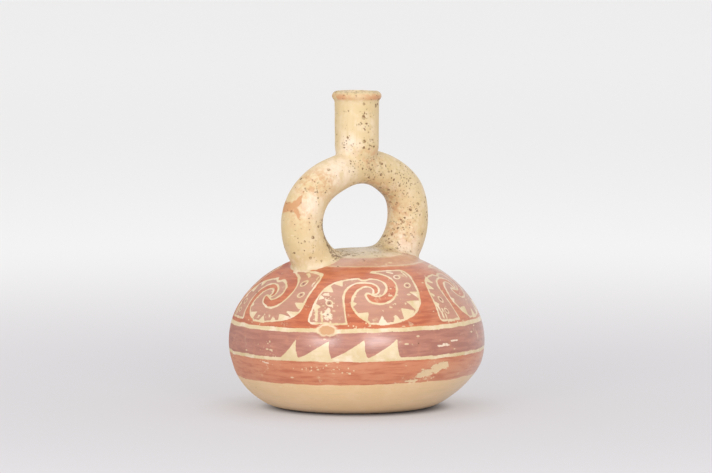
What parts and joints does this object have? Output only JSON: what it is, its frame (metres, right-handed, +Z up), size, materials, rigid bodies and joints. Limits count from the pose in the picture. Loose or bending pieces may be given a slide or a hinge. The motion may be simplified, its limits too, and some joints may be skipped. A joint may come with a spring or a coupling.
{
  "type": "stirrup spout vessel",
  "caption": "Hollow painted clay vessel: a squat round body, a looped tubular stirrup as its handle, and a straight spout with a rolled lip for filling and pouring.",
  "frame": {"origin": "centre of the flat underside", "axes": "+Z up along the axis of the body and the spout; +X along the plane of the stirrup, from one leg to the other"},
  "size_m": [0.16, 0.16, 0.1973],
  "materials": {
    "painted_clay": "burnished slip, worn, with cream, red-brown and dull pink paint"
  },
  "bodies": {
    "root": {"vessel": "painted_clay"}
  },
  "joints": []
}
